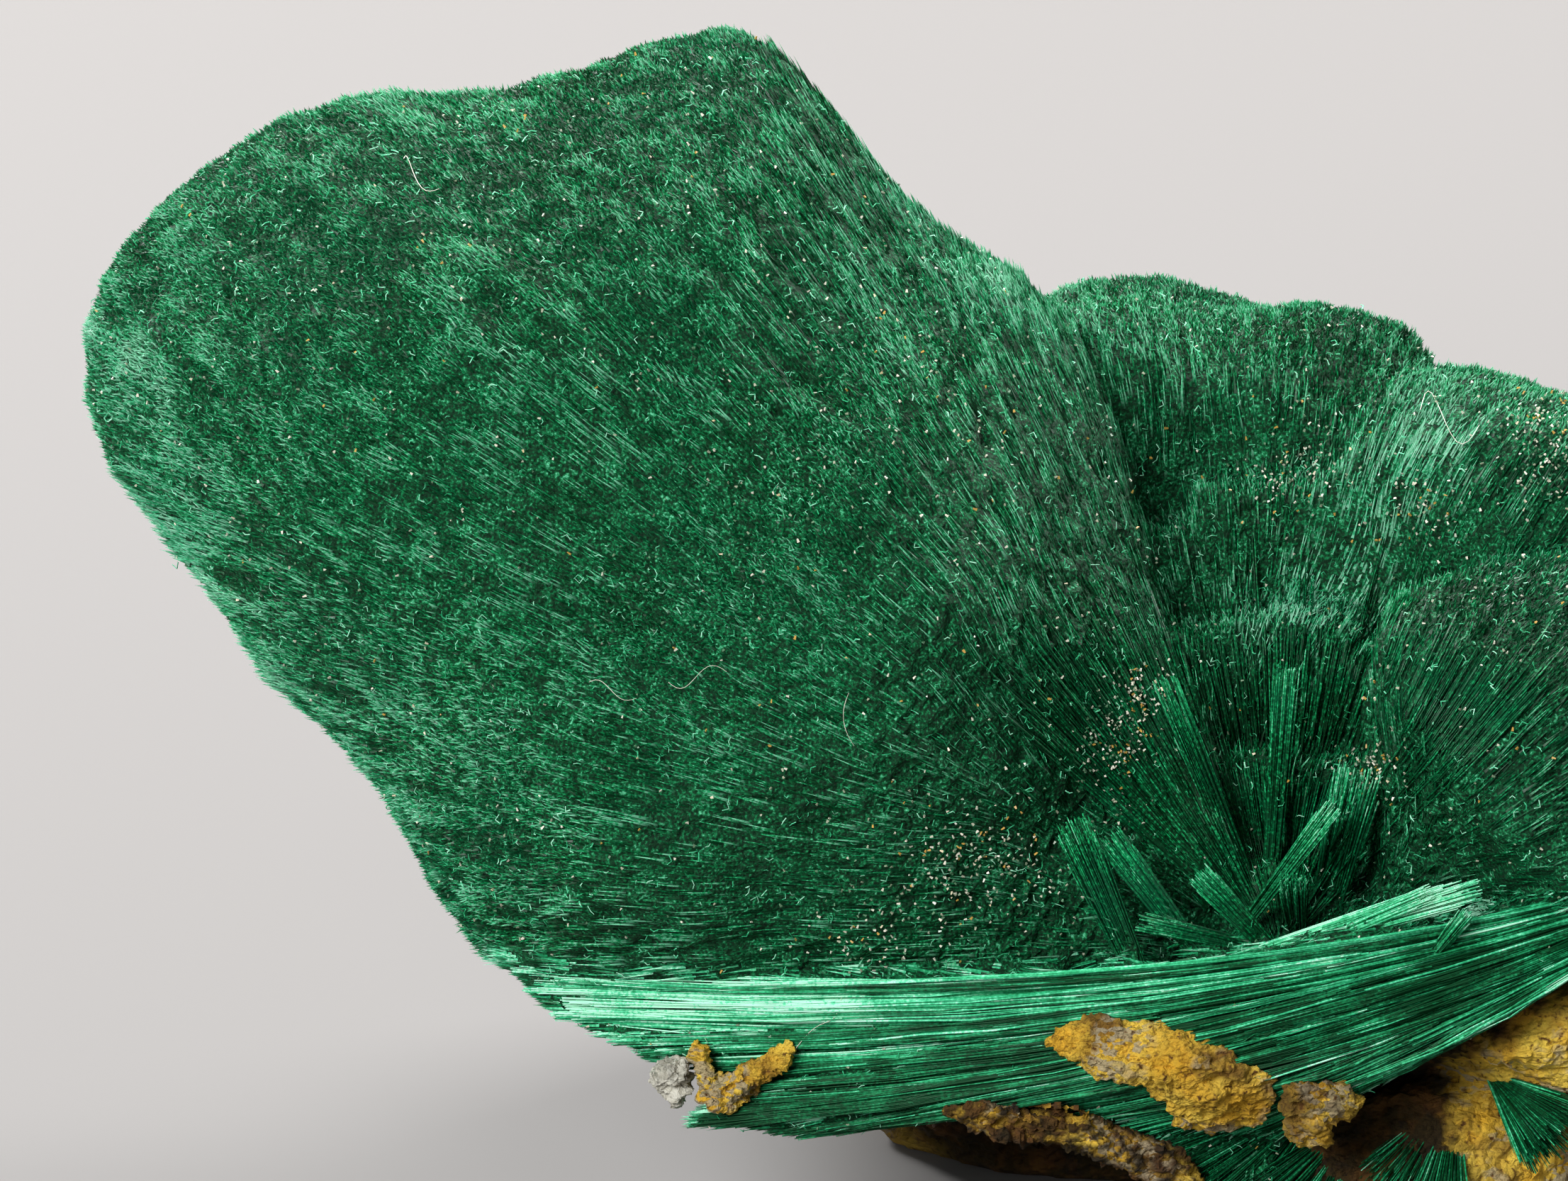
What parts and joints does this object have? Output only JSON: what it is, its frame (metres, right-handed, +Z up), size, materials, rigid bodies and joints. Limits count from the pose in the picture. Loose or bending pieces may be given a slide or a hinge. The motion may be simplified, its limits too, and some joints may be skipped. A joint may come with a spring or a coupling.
{
  "type": "fibrous malachite specimen",
  "caption": "Natural specimen of fibrous malachite: velvet sprays of hair-thin green fibres and a silky broken sheaf, on a lump of yellow-brown limonite with thin scabs.",
  "frame": {"origin": "centre of the box on the plane that the matrix rests on", "axes": "+Z up, -Y towards the viewer of the picture, +X to the viewer's right, along the longest extent"},
  "size_m": [0.0368, 0.0234, 0.0218],
  "materials": {
    "malachite": "silky",
    "limonite": "earthy matt",
    "clay": "earthy matt"
  },
  "bodies": {
    "root": {"fibrous_malachite": "malachite", "malachite_tuft_middle": "malachite", "malachite_tuft_front": "malachite", "limonite_matrix": "limonite", "limonite_scab_front": "limonite", "limonite_scab_right": "limonite", "limonite_scab_left": "limonite", "limonite_scab_lower": "limonite", "clay_crumb": "clay"}
  },
  "joints": []
}
